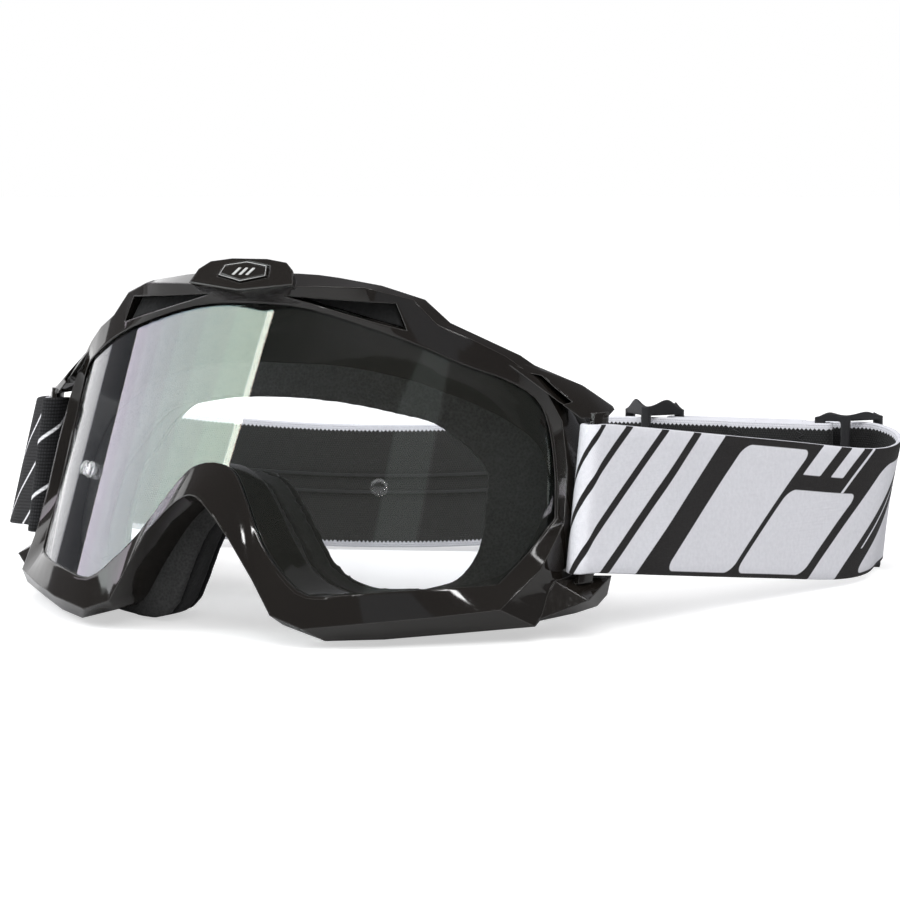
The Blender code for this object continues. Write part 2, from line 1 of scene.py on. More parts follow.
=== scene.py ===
"""The looks of a pair of motorcycle goggles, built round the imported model.

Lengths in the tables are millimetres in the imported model's frame: +X is the wearer's left, the wearer looks
along -Y, +Z is up, and the goggles stand on Z = 0. They become metres as each mesh is made.
"""

import math

import bmesh
import bpy
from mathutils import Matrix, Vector, noise


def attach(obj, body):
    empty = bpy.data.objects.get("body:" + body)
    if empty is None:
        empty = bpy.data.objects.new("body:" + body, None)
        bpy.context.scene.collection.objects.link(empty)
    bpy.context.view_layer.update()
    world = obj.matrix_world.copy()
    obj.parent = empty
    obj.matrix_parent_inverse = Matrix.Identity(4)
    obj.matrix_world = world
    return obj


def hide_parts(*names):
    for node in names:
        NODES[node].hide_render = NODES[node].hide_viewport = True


# A millimetre, and how near two corners have to be to be joined, both in metres.
MM = 0.001
JOIN_WITHIN = 1e-6

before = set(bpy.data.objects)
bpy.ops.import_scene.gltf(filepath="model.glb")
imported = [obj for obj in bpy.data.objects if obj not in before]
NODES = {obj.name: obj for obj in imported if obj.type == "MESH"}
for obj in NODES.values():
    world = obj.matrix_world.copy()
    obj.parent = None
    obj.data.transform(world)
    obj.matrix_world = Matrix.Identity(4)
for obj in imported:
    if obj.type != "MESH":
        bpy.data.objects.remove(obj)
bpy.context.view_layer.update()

# The camera: where it is, which way it looks (degrees round from -Y, degrees up) and its lens.
CAMERA_PLACE = Vector((424.9, -754.0, 135.4))
CAMERA_AZIMUTH = 28.0
CAMERA_ELEVATION = 6.0
CAMERA_LENS = 107.2

# Strap webbing.
WEB_WIDTH = 44.0
WEB_THICKNESS = 1.55
WEB_ROUNDING = 0.55
SERRATION_PITCH = 1.45
SLANT = 0.876

# Bar tacks. TACK_AT is the distance from the outrigger bar to the tack of the left half.
TACK_AT = 22.0
TACK_STITCHES = 34
TACK_LENGTH = 38.0
TACK_WIDTH = 2.4
TACK_THREAD = 0.17

# Lens: a sheet straight along its lean and curved across. Vertices within LENS_SNAP of a face are put on it.
LENS_FRONT_Y = -116.8
LENS_FOOT_Z = 15.0
LENS_LEAN = 0.45
LENS_BEND = 0.00345
LENS_WRAP = 4.4e-7
LENS_THICKNESS = 0.9
LENS_SNAP = 0.2

# The studs on the lens.
POST_ACROSS = 50.0
POST_UP = 44.5
POST_SEGMENTS = 48


# ---------------------------------------------------------------- shading


class Field:
    """A number that varies over a surface: arithmetic on it adds math nodes to the material."""

    def __init__(self, tree, socket):
        self.tree = tree
        self.socket = socket

    def made(self, operation, *others):
        """The result of a math node on this field and others, each a field or a number."""
        node = self.tree.nodes.new("ShaderNodeMath")
        node.operation = operation
        for index, value in enumerate((self, *others)):
            if isinstance(value, Field):
                self.tree.links.new(value.socket, node.inputs[index])
            else:
                node.inputs[index].default_value = value
        return Field(self.tree, node.outputs[0])

    def __add__(self, other):
        return self.made("ADD", other)

    def __sub__(self, other):
        return self.made("SUBTRACT", other)

    def __mul__(self, other):
        return self.made("MULTIPLY", other)

    def __abs__(self):
        return self.made("ABSOLUTE")

    __radd__ = __add__
    __rmul__ = __mul__

    def at_least(self, other):
        return self.made("MAXIMUM", other)

    def at_most(self, other):
        return self.made("MINIMUM", other)

    def clamped(self):
        """The field held between 0 and 1."""
        return self.at_least(0.0).at_most(1.0)

    def triangle(self, period):
        """A triangle wave from 0 to 1."""
        return self.made("PINGPONG", period / 2) * (2 / period)

    def wave(self, period):
        """A sine wave from -1 to 1."""
        return (self * (2 * math.pi / period)).made("SINE")

    def above(self, level, soft):
        """1 where the field is above a level, 0 below it, with a soft step between."""
        return ((self - level) * (1 / soft) + 0.5).clamped()

    def between(self, low, high, soft):
        """1 between two levels, 0 outside them, with soft steps."""
        return self.above(low, soft) * (1.0 + -1.0 * self.above(high, soft))


class Look:
    """A Principled material under construction."""

    def __init__(self, name, colour, roughness, **sockets):
        self.material = bpy.data.materials.new(name)
        self.material.use_nodes = True
        self.tree = self.material.node_tree
        self.shader = self.tree.nodes["Principled BSDF"]
        self.material.diffuse_color = (*colour, 1.0)
        self.set("Base Color", (*colour, 1.0))
        self.set("Roughness", roughness)
        for socket, value in sockets.items():
            self.set(socket.replace("_", " "), value)

    def set(self, socket, value):
        self.shader.inputs[socket].default_value = value

    def drive(self, socket, field):
        """Feeds a socket of the shader from a field or from a colour socket."""
        source = field.socket if isinstance(field, Field) else field
        self.tree.links.new(source, self.shader.inputs[socket])

    def place(self):
        """The surface's own coordinates, in metres."""
        return self.tree.nodes.new("ShaderNodeTexCoord").outputs["Object"]

    def web(self):
        """Distance along the webbing and across it, in millimetres."""
        split = self.tree.nodes.new("ShaderNodeSeparateXYZ")
        uv = self.tree.nodes.new("ShaderNodeUVMap")
        uv.uv_map = "web"
        self.tree.links.new(uv.outputs["UV"], split.inputs[0])
        return Field(self.tree, split.outputs["X"]), Field(self.tree, split.outputs["Y"])

    def noise(self, size, detail=2.0, roughness=0.5, stretch=(1.0, 1.0, 1.0)):
        """Noise about a size in millimetres, from 0 to 1."""
        mapping = self.tree.nodes.new("ShaderNodeMapping")
        mapping.inputs["Scale"].default_value = stretch
        self.tree.links.new(self.place(), mapping.inputs["Vector"])
        node = self.tree.nodes.new("ShaderNodeTexNoise")
        node.inputs["Scale"].default_value = 1 / (size * MM)
        node.inputs["Detail"].default_value = detail
        node.inputs["Roughness"].default_value = roughness
        self.tree.links.new(mapping.outputs["Vector"], node.inputs["Vector"])
        return Field(self.tree, node.outputs["Fac"])

    def cells(self, size):
        """Distance to the nearest of many random points, for pores."""
        node = self.tree.nodes.new("ShaderNodeTexVoronoi")
        node.inputs["Scale"].default_value = 1 / (size * MM)
        self.tree.links.new(self.place(), node.inputs["Vector"])
        return Field(self.tree, node.outputs["Distance"])

    def blend(self, share, first, second):
        """The first colour where share is 0 and the second where it is 1: each a colour or a colour socket."""
        node = self.tree.nodes.new("ShaderNodeMix")
        node.data_type = "RGBA"
        self.tree.links.new(share.socket, node.inputs["Factor"])
        for socket, value in zip((node.inputs[6], node.inputs[7]), (first, second)):
            if isinstance(value, tuple):
                socket.default_value = (*value, 1.0)
            else:
                self.tree.links.new(value, socket)
        return node.outputs[2]

    def bump(self, height, depth, rounding=None):
        """Relief of a depth in millimetres, on top of edges rounded by a bevel when rounding is given."""
        node = self.tree.nodes.new("ShaderNodeBump")
        node.inputs["Strength"].default_value = 1.0
        node.inputs["Distance"].default_value = depth * MM
        self.tree.links.new(height.socket, node.inputs["Height"])
        if rounding:
            self.tree.links.new(self.rounded(rounding), node.inputs["Normal"])
        self.tree.links.new(node.outputs["Normal"], self.shader.inputs["Normal"])

    def rounded(self, radius):
        """The surface's normal with edges rounded by a radius in millimetres."""
        bevel = self.tree.nodes.new("ShaderNodeBevel")
        bevel.samples = 6
        bevel.inputs["Radius"].default_value = radius * MM
        return bevel.outputs["Normal"]

    def edges(self, radius):
        """1 along sharp edges, 0 on faces, from how far a bevel turns the surface's normal."""
        geometry = self.tree.nodes.new("ShaderNodeNewGeometry")
        dot = self.tree.nodes.new("ShaderNodeVectorMath")
        dot.operation = "DOT_PRODUCT"
        self.tree.links.new(geometry.outputs["Normal"], dot.inputs[0])
        self.tree.links.new(self.rounded(radius), dot.inputs[1])
        turned = Field(self.tree, dot.outputs["Value"]) * -1.0 + 1.0
        return (turned * 3.0).clamped()


def gloss_look():
    """Glossy moulded plastic, almost black with a brown cast, faintly uneven and lightly rubbed, with a painted
    highlight line along every sharp edge.
    """
    look = Look("gloss_moulding", (0.0105, 0.0088, 0.0074), 0.07, Specular_IOR_Level=0.5)
    swirl = look.noise(26.0, 3.0)
    rub = look.noise(1.3, 4.0, 0.6)
    body = look.blend(swirl, (0.0088, 0.0074, 0.0062), (0.0125, 0.0106, 0.0090))
    # The pale colour along sharp edges is a painted highlight: a thin light line where the edges catch the
    # lamps.
    look.drive("Base Color", look.blend(look.edges(0.35) * 0.8, body, (0.16, 0.155, 0.15)))
    look.drive("Roughness", (rub.above(0.60, 0.25) * 0.07 + swirl * 0.05) + 0.035)
    look.bump(look.noise(18.0, 2.0), 0.05, 0.7)
    return look.material


def lens_look():
    """Clear sheet with a thin coating that reflects mauve to green."""
    look = Look("clear_sheet", (0.965, 0.975, 0.975), 0.0, IOR=1.56, Transmission_Weight=1.0)
    look.set("Thin Film Thickness", 360.0)
    look.set("Thin Film IOR", 1.51)
    return look.material


def post_look(strength):
    """A clear stud. The strength is how far it stands out from the clear sheet it is glued to."""
    look = Look("clear_stud", (0.90, 0.92, 0.92), 0.02, IOR=1.49, Transmission_Weight=1.0, Alpha=strength)
    look.bump(look.noise(2.0, 2.0), 0.02)
    return look.material


def silver_look():
    """Pale satin paint."""
    look = Look("pale_paint", (0.55, 0.55, 0.54), 0.35, Metallic=0.3)
    look.drive("Roughness", look.noise(0.6, 3.0) * 0.3 + 0.25)
    look.bump(look.noise(0.3, 2.0), 0.01)
    return look.material


def thread_look():
    """Twisted black polyester thread."""
    look = Look("thread", (0.02, 0.02, 0.021), 0.55, Sheen_Weight=0.2, Sheen_Roughness=0.4)
    twist = look.noise(0.25, 2.0)
    look.drive("Base Color", look.blend(twist, (0.012, 0.012, 0.013), (0.045, 0.045, 0.048)))
    look.bump(twist, 0.03)
    return look.material


def foam_look(name, dark, light, pore):
    """Open-cell foam: pores as a fine random relief, darkened with painted shade in the pores, over patches of
    random tone.
    """
    look = Look(name, dark, 0.95, Sheen_Weight=0.08, Sheen_Roughness=0.6)
    cells = look.cells(pore)
    patches = look.noise(9.0, 3.0)
    # Darker at the pores, where the relief dips: painted shade in the pores. The patches add random tone.
    shade = (cells * 0.75 + patches * 0.5).clamped()
    look.drive("Base Color", look.blend(shade, dark, light))
    look.bump(cells + look.noise(pore * 0.7, 2.0) * 0.6, 0.07)
    return look.material


def fleece_look():
    """Brushed black fleece against the face."""
    look = Look("fleece", (0.012, 0.012, 0.013), 1.0, Sheen_Weight=0.12, Sheen_Roughness=0.45)
    fibres = look.noise(0.5, 6.0, 0.75)
    look.drive("Base Color", look.blend(fibres, (0.005, 0.005, 0.006), (0.024, 0.024, 0.025)))
    look.bump(fibres, 0.12)
    return look.material


def moulded_look():
    """Matt moulded plastic with a fine spark-eroded grain."""
    look = Look("matt_moulding", (0.018, 0.018, 0.019), 0.42)
    grain = look.noise(0.35, 3.0, 0.6)
    look.drive("Base Color", look.blend(grain, (0.012, 0.012, 0.013), (0.028, 0.028, 0.030)))
    look.drive("Roughness", grain * 0.25 + 0.34)
    look.bump(grain, 0.07, 0.35)
    return look.material


BLACK_YARN = (0.011, 0.010, 0.011)
WHITE_YARN = (0.74, 0.74, 0.78)


def knit(look, across_pitch, along_pitch):
    """Relief of a knitted face: small loops in rows, from 0 to 1."""
    along, across = look.web()
    loops = abs((along + across * 0.5).wave(along_pitch)) * abs((along - across * 0.5).wave(along_pitch))
    return (loops * 0.6 + abs(across.wave(across_pitch)) * 0.4).clamped()


def rounded_block(w, v, low, high, radius):
    """1 inside a box with rounded corners in the (w, v) plane, 0 outside."""
    over = []
    for field, near, far in ((w, low[0], high[0]), (v, low[1], high[1])):
        over.append((abs(field - (near + far) / 2) - (far - near) / 2 + radius).at_least(0.0))
    distance = (over[0] * over[0] + over[1] * over[1]).made("SQRT") - radius
    return (distance * -4.0 + 0.5).clamped()


def print_look(name, stripes, blocks, ground_from):
    """The printed outer face: white with slanted stripes up to ground_from, then black with white blocks."""
    look = Look(name, WHITE_YARN, 0.9, Sheen_Weight=0.04, Sheen_Roughness=0.5)
    along, across = look.web()
    near_front = (along * -1.0 + 6.0).at_least(0.0)
    w = along - across * SLANT - near_front * near_front * 0.10
    ink = w.above(ground_from, 0.25)
    for middle, width in stripes:
        ink = ink.at_least(w.between(middle - width / 2, middle + width / 2, 0.25))
    white = rounded_block(w, across, *blocks[0])
    for block in blocks[1:]:
        white = white.at_least(rounded_block(w, across, *block))
    ink = (ink - white).clamped()
    fuzz = look.noise(1.2, 3.0)
    pale = look.blend(fuzz, (0.66, 0.66, 0.70), (0.80, 0.80, 0.84))
    dark = look.blend(fuzz, (0.009, 0.008, 0.008), (0.019, 0.017, 0.017))
    look.drive("Base Color", look.blend(ink, pale, dark))
    look.bump(knit(look, 0.9, 1.1) + fuzz * 0.5, 0.10)
    return look.material


def ribbed_look():
    """The outer face of the right half: black ribs with a few thin white slanted lines."""
    look = Look("ribbed_face", BLACK_YARN, 0.9, Sheen_Weight=0.03, Sheen_Roughness=0.5)
    look.set("Specular IOR Level", 0.25)
    along, across = look.web()
    w = along + across * 1.15
    lines = w.triangle(21.0).above(0.93, 0.05)
    ribs = abs(across.wave(2.2)) * (abs(along.wave(1.5)) * 0.7 + 0.3)
    # Paler on the ribs' crowns and darker in the grooves between them: painted shade in the grooves.
    dark = look.blend(ribs, (0.004, 0.004, 0.004), (0.022, 0.022, 0.024))
    look.drive("Base Color", look.blend(lines, dark, (0.72, 0.72, 0.74)))
    look.bump(ribs, 0.22)
    return look.material


def lining_look():
    """The inner face: black knit with white edges that meet it in small teeth."""
    look = Look("lining_face", BLACK_YARN, 0.95, Sheen_Weight=0.05, Sheen_Roughness=0.5)
    along, across = look.web()
    teeth = along.triangle(SERRATION_PITCH) * 0.7
    fuzz = look.noise(0.8, 3.0)
    edge = (abs(across) + teeth + fuzz * 0.3).above(WEB_WIDTH / 2 - 1.7, 0.25)
    loops = knit(look, 1.5, 1.7)
    # Paler on the knit's loops and darker between them: painted shade between the loops.
    dark = look.blend(loops, (0.006, 0.006, 0.006), (0.030, 0.030, 0.030))
    look.drive("Base Color", look.blend(edge, dark, (0.62, 0.62, 0.66)))
    look.bump(loops + fuzz * 0.5, 0.20)
    return look.material


# ---------------------------------------------------------------- meshes


def piece(name, bm, materials, body, smooth_angle=None):
    """A piece of the object from a bmesh in metres, riding on a body."""
    mesh = bpy.data.meshes.new(name)
    bm.to_mesh(mesh)
    bm.free()
    imported = mesh.attributes.get("custom_normal")
    if imported:
        mesh.attributes.remove(imported)
    mesh.shade_smooth()
    if smooth_angle:
        mesh.set_sharp_from_angle(angle=math.radians(smooth_angle))
    for material in materials:
        mesh.materials.append(material)
    item = bpy.data.objects.new(name, mesh)
    bpy.context.scene.collection.objects.link(item)
    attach(item, body)
    return item


def applied(item):
    """Replaces an object's mesh with what its modifiers make of it."""
    evaluated = item.evaluated_get(bpy.context.evaluated_depsgraph_get())
    mesh = bpy.data.meshes.new_from_object(evaluated)
    item.modifiers.clear()
    item.data = mesh
    return item


def set_material(node, material):
    """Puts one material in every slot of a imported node."""
    for slot in NODES[node].material_slots:
        slot.material = material


def roughen(mesh, relief):
    """Pushes the vertices of a mesh in and out by a smooth random relief."""
    places = [vertex.co.copy() for vertex in mesh.vertices]
    normals = [vertex.normal.copy() for vertex in mesh.vertices]
    flat = []
    for place, normal in zip(places, normals):
        push = noise.noise(place / (5.0 * MM)) + 0.4 * noise.noise(place / (1.5 * MM))
        flat.extend(place + normal * (push * relief * MM))
    mesh.vertices.foreach_set("co", flat)
    mesh.update()


def packed_shape(node):
    """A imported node's mesh in a bmesh, with its shared corners joined."""
    bm = bmesh.new()
    bm.from_mesh(NODES[node].data)
    bmesh.ops.remove_doubles(bm, verts=bm.verts, dist=JOIN_WITHIN)
    return bm


def stands_for(node):
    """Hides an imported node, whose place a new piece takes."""
    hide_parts(node)


def rounded(node, name, body, material, voxel, rounds, reshape=None):
    """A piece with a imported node's shape, finely meshed, with every edge rounded."""
    item = piece(name, packed_shape(node), [material], body)
    remesh = item.modifiers.new("remesh", "REMESH")
    remesh.mode = "VOXEL"
    remesh.voxel_size = voxel * MM
    applied(item)
    if reshape:
        flat = []
        for vertex in item.data.vertices:
            flat.extend(reshape(vertex.co / MM) * MM)
        item.data.vertices.foreach_set("co", flat)
        item.data.update()
    smooth = item.modifiers.new("smooth", "SMOOTH")
    smooth.factor = 0.5
    smooth.iterations = rounds
    applied(item)
    item.data.shade_smooth()
    stands_for(node)
    return item


def faired(node, name, body, material, angle):
    """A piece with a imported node's shape whose shallow facets are shaded as one smooth face."""
    bm = packed_shape(node)
    bmesh.ops.dissolve_degenerate(bm, edges=bm.edges, dist=1e-5)
    item = piece(name, bm, [material], body, angle)
    weighted = item.modifiers.new("weighted", "WEIGHTED_NORMAL")
    weighted.keep_sharp = True
    weighted.mode = "FACE_AREA_WITH_ANGLE"
    stands_for(node)


def softened(node, name, body, material, voxel, relief, rounds=6):
    """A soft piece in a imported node's place: its cut edges rounded and its faces slightly uneven."""
    item = rounded(node, name, body, material, voxel, rounds)
    for _ in range(2):
        roughen(item.data, relief)


def lens_front(x, z):
    """The front surface of the lens: how far back it is at a place across and up."""
    return LENS_FRONT_Y + LENS_LEAN * (z - LENS_FOOT_Z) + LENS_BEND * x**2 + LENS_WRAP * x**4


def lens_outward(x):
    """The direction straight out of the front of the lens."""
    slope = 2 * LENS_BEND * x + 4 * LENS_WRAP * x**3
    return Vector((slope, -1.0, LENS_LEAN)).normalized()


def make_lens():
    """The lens, finely meshed on its true curve so that reflections run smoothly across it."""
    bm = packed_shape("lens")
    bmesh.ops.subdivide_edges(bm, edges=bm.edges, cuts=3, use_grid_fill=True)
    for vertex in bm.verts:
        x, y, z = vertex.co / MM
        front = lens_front(x, z)
        depth = y - front
        if depth < LENS_SNAP:
            depth = 0.0
        if depth > LENS_THICKNESS - LENS_SNAP:
            depth = LENS_THICKNESS
        vertex.co.y = (front + depth) * MM
    item = piece("lens_sheet", bm, [lens_look()], "goggle", 40)
    stands_for("lens")


def make_posts():
    """The two clear studs that tear-off films hook over: a foot, a neck and a domed head, turned."""
    profile = [(0.0, 0.32), (2.3, 0.32), (2.55, 0.45), (2.55, 0.66), (2.2, 0.84), (1.55, 1.0), (1.5, 1.7)]
    profile += [(1.8, 1.98), (2.25, 2.2), (2.35, 2.5), (2.1, 2.78), (1.5, 2.98), (0.8, 3.06), (0.0, 3.08)]
    for side, sign, strength in (("left", 1, 0.05), ("right", -1, 0.6)):
        x = POST_ACROSS * sign
        foot = Vector((x, lens_front(x, POST_UP), POST_UP))
        turn = lens_outward(x).to_track_quat("Z", "Y").to_matrix()
        bm = bmesh.new()
        rings = []
        for radius, height in profile:
            ring = []
            for step in range(POST_SEGMENTS):
                angle = 2 * math.pi * step / POST_SEGMENTS
                spot = Vector((radius * math.cos(angle), radius * math.sin(angle), height))
                ring.append(bm.verts.new((foot + turn @ spot) * MM))
            rings.append(ring)
        for ring, above in zip(rings, rings[1:]):
            for step in range(POST_SEGMENTS):
                after = (step + 1) % POST_SEGMENTS
                bm.faces.new((ring[step], ring[after], above[after], above[step]))
        bmesh.ops.remove_doubles(bm, verts=bm.verts, dist=JOIN_WITHIN)
        item = piece(f"clear_stud_{side}", bm, [post_look(strength)], "goggle", 60)
        stands_for(f"tearoff_post_{side}")


BADGE_CENTRE = Vector((0.0, -82.7, 103.9))
BADGE_UP = Vector((0.0, 0.6, 0.8))
BADGE_OUT = Vector((0.0, -0.8, 0.6))
BADGE_OUTLINE = ((0.0, 3.9), (7.9, 2.4), (8.8, -1.6), (0.0, -3.9), (-8.8, -1.6), (-7.9, 2.4))


def bead(name, spots, radius, material, body):
    """A round bead or thread through spots."""
    curve = bpy.data.curves.new(name, "CURVE")
    curve.dimensions = "3D"
    curve.bevel_depth = radius * MM
    curve.bevel_resolution = 2
    curve.use_fill_caps = True
    spline = curve.splines.new("POLY")
    spline.points.add(len(spots) - 1)
    for point, spot in zip(spline.points, spots):
        point.co = (*(spot * MM), 1.0)
    guide = bpy.data.objects.new(name, curve)
    bpy.context.scene.collection.objects.link(guide)
    swept = bpy.data.meshes.new_from_object(guide.evaluated_get(bpy.context.evaluated_depsgraph_get()))
    bpy.data.objects.remove(guide)
    bm = bmesh.new()
    bm.from_mesh(swept)
    bmesh.ops.remove_doubles(bm, verts=bm.verts, dist=JOIN_WITHIN)
    piece(name, bm, [material], body, 50)


def raised_line(name, corners, radius, height, material):
    """A rounded bead through corners on the badge's plane."""
    spots = []
    for u, v in corners:
        spots.append(BADGE_CENTRE + Vector((u, 0.0, 0.0)) + BADGE_UP * v + BADGE_OUT * height)
    bead(name, spots, radius, material, "goggle")


def make_badge_trim():
    """A pale outline and three slanted bars on the brow badge."""
    silver = silver_look()
    outline = [(u * 0.9, v * 0.86) for u, v in BADGE_OUTLINE]
    raised_line("badge_outline", outline + outline[:1], 0.11, 2.22, silver)
    for number in range(3):
        middle = (number - 1) * 2.4
        for nudge in (-0.3, 0.0, 0.3):
            corners = [(middle - 0.8 + nudge, -1.25), (middle + 0.8 + nudge, 1.25)]
            raised_line(f"badge_bar_{number}_{round(nudge * 10) + 3}", corners, 0.2, 2.2, silver)


# ---------------------------------------------------------------- strap routes


# The straight rear run in plan, the layers of webbing on it, and where the sliders sit along it.
REAR_START = Vector((15.0, 91.2))
REAR_END = Vector((128.0, 107.1))
REAR_RUN = (REAR_END - REAR_START).normalized()
REAR_OUT = Vector((-REAR_RUN.y, REAR_RUN.x))
REAR_HEIGHT = 28.0
LAYER_OFFSET = 3.4
SLIDER_1_AT = 37.5
SLIDER_2_AT = 106.0
END_BAR = 8.8
END_GAP = 31.0
SLIDER_EAR_FROM = 51.5
SLIDER_EAR_AT = 5.5
SLIDER_EAR_WIDTH = 3.0

# The left outrigger bar: its middle, the way the strap leaves it, and how the webbing lies round it.
BAR_CENTRE = Vector((97.2, -49.6, 40.0))
BAR_RUN = Vector((0.28, 0.96))
BAR_LEAN = 0.2196
BAR_DROP = 0.13
BAR_TO_WEB = 3.0

# The loops sewn round the sliders' end bars: from the bar's middle to a leg's middle, and how far each runs.
LOOP_LEG = 1.2 + 0.3 + 0.8
LOOP_1_REACH = 44.0
LOOP_2_REACH = 31.0

# Each sewn loop: its slider's number, its strap half, where the slider is, which way it runs and how far.
SEWN_LOOPS = (
    (1, "left", SLIDER_1_AT, 1, LOOP_1_REACH),
    (2, "right", SLIDER_2_AT, -1, LOOP_2_REACH),
)


def rear_point(along, out):
    """A plan point on the straight rear run: distance along it and distance outward."""
    return REAR_START + REAR_RUN * along + REAR_OUT * out


def bar_loop(long_side):
    """Points of the webbing round the left outrigger bar: plan, height, lean back and lean left."""
    route = [(32, 1.1), (22, 1.1), (13, 1.0)] if long_side else [(11, -0.6)]
    route += [(7.5, -1.6), (3, -BAR_TO_WEB), (-1.5, -BAR_TO_WEB)]
    for angle in (0.5, 1.1, math.pi / 2, 2.04, 2.64):
        route.append((-2.5 - BAR_TO_WEB * math.sin(angle), -BAR_TO_WEB * math.cos(angle)))
    route += [(along, BAR_TO_WEB) for along in (-1.5, 3, 8)]
    if long_side:
        route += [(along, BAR_TO_WEB) for along in (14, 22, 32)]
    points = []
    for along, out in route:
        plan = BAR_CENTRE.xy + BAR_RUN * along + Vector((BAR_RUN.y, -BAR_RUN.x)) * out
        points.append((*plan, BAR_CENTRE.z - BAR_DROP * max(along, 0), BAR_LEAN, 0.0))
    return points


def left_route():
    """The left half: sewn end, bar loop, side run, fold, and the outer layer of the rear run."""
    route = bar_loop(True)
    route += [(115.0, 4.9, 32.5, 0.22, 0.0), (124.0, 36.9, 28.2, 0.24, 0.03), (131.5, 62.9, 24.6, 0.28, 0.07)]
    route += [(135.6, 77.9, 23.2, 0.30, 0.10), (137.6, 88.9, 23.4, 0.28, 0.12), (136.8, 98.4, 24.8, 0.22, 0.12)]
    route += [(134.2, 105.5, 26.6, 0.08, 0.05)]
    for along in (113.0, 100.0, SLIDER_1_AT + END_GAP):
        route.append((*rear_point(along, LAYER_OFFSET), REAR_HEIGHT, 0.0, 0.0))
    return route


def right_route():
    """The right half: sewn end, bar loop, side run, fold, and the inner layer of the rear run."""
    route = [(-x, y, z, back, 0.0) for x, y, z, back, _ in bar_loop(False)]
    route += [(-113.0, -33.1, 38.5, 0.22, 0.04), (-126.0, -23.1, 37.0, 0.22, 0.10)]
    route += [(-135.2, -11.1, 35.2, 0.22, 0.14), (-137.7, 2.9, 33.6, 0.22, 0.12)]
    route += [(-136.6, 16.9, 32.0, 0.20, 0.08), (-129.0, 28.9, 30.2, 0.15, 0.04)]
    route += [(-116.0, 38.5, 28.0, 0.10, 0.0), (-96.0, 47.9, 25.4, 0.05, 0.0), (-62.0, 62.4, 23.2, 0.02, 0.0)]
    route += [(-30.0, 74.9, 23.2, 0.0, 0.0), (-4.0, 84.3, 24.6, 0.0, 0.0)]
    for along in (8.0, 30.0, 55.0, SLIDER_2_AT - END_GAP):
        height = REAR_HEIGHT - max(0.0, 20.0 - along) * 0.08
        route.append((*rear_point(along, -LAYER_OFFSET), height, 0.0, 0.0))
    return route


def loop_route(slider_at, layer, reach, side):
    """The sewn loop round a slider's end bar."""
    plan = [(reach, LOOP_LEG), (reach * 0.6, LOOP_LEG), (reach * 0.25, LOOP_LEG), (1.0, LOOP_LEG)]
    for angle in (0.6, 1.2, math.pi / 2, 1.94, 2.54):
        plan.append((-LOOP_LEG * math.sin(angle) - 1.4, LOOP_LEG * math.cos(angle)))
    plan += [(1.0, -LOOP_LEG), (reach * 0.25, -LOOP_LEG), (reach * 0.6, -LOOP_LEG), (reach, -LOOP_LEG)]
    points = []
    for along, out in plan:
        spot = rear_point(slider_at + side * (END_BAR + along), layer + out)
        points.append((*spot, REAR_HEIGHT, 0.0, 0.0))
    return points


def smooth_samples(points, steps):
    """Smooth samples through rows of numbers."""
    rows = [Vector(p) for p in points]
    samples = []
    for index in range(len(rows) - 1):
        before, after = rows[max(index - 1, 0)], rows[min(index + 2, len(rows) - 1)]
        start, end = rows[index], rows[index + 1]
        leave, arrive = (end - before) * 0.5, (after - start) * 0.5
        for step in range(steps):
            t = step / steps
            samples.append(
                start * (2 * t**3 - 3 * t**2 + 1)
                + leave * (t**3 - 2 * t**2 + t)
                + end * (3 * t**2 - 2 * t**3)
                + arrive * (t**3 - t**2)
            )
    samples.append(rows[-1])
    return samples


def webbing(name, node, body, route, materials, start=0.0, steps=10, columns=14, outward=1):
    """Woven webbing on edge along a route: rounded edges, slightly uneven, with its own along and across map.

    materials are for the face on the outward side and for the other face. start is the distance along the
    webbing where its along map begins.
    """
    samples = smooth_samples(route, steps)
    half_width, half_thick = WEB_WIDTH / 2 - 0.1, WEB_THICKNESS / 2
    profile = []
    for face in (1, -1):
        for column in range(columns + 1):
            across = (1 - 2 * column / columns) * (half_width - WEB_ROUNDING) * face
            profile.append((across, half_thick * face, 0 if face == outward else 1))
        for turn in (1, 2, 3):
            angle = math.pi * turn / 4
            across = -(half_width - WEB_ROUNDING + WEB_ROUNDING * math.sin(angle)) * face
            inner = (face == outward) == (turn > 2)
            profile.append((across, half_thick * math.cos(angle) * face, 1 if inner else 0))
    bm = bmesh.new()
    uv = bm.loops.layers.uv.new("web")
    rings, lengths, length = [], [], 0.0
    for index, sample in enumerate(samples):
        ahead, behind = samples[min(index + 1, len(samples) - 1)], samples[max(index - 1, 0)]
        run = Vector((ahead.x - behind.x, ahead.y - behind.y)).normalized()
        out = Vector((run.y, -run.x, 0.0))
        rise = Vector((sample[4], sample[3], 1.0)).normalized()
        middle = Vector(sample[:3])
        if index:
            length += (middle - Vector(samples[index - 1][:3])).length
        lengths.append(length)
        ring = []
        for across, depth, _ in profile:
            ripple = 0.10 * noise.noise(Vector((length / 9.0, across / 11.0, half_thick)))
            point = middle + rise * across + out * (depth + ripple)
            ring.append(bm.verts.new(point * MM))
        rings.append(ring)
    count = len(profile)
    for row in range(len(rings) - 1):
        for index in range(count):
            after = (index + 1) % count
            corners = ((row, index), (row, after), (row + 1, after), (row + 1, index))
            face = bm.faces.new([rings[r][i] for r, i in corners])
            face.material_index = max(profile[index][2], profile[after][2])
            for loop, (r, i) in zip(face.loops, corners):
                loop[uv].uv = (lengths[r] - start, profile[i][0])
    for ring in (rings[0], rings[-1][::-1]):
        bm.faces.new(ring)
    bmesh.ops.recalc_face_normals(bm, faces=bm.faces)
    item = piece(name, bm, materials, body, 50)
    stands_for(node)


# ---------------------------------------------------------------- the goggles


def dress_frame():
    """The frame and its badge in glossy plastic."""
    gloss = gloss_look()
    faired("frame", "frame_moulding", "goggle", gloss, 34)
    faired("brow_badge", "brow_badge_plate", "goggle", gloss, 34)


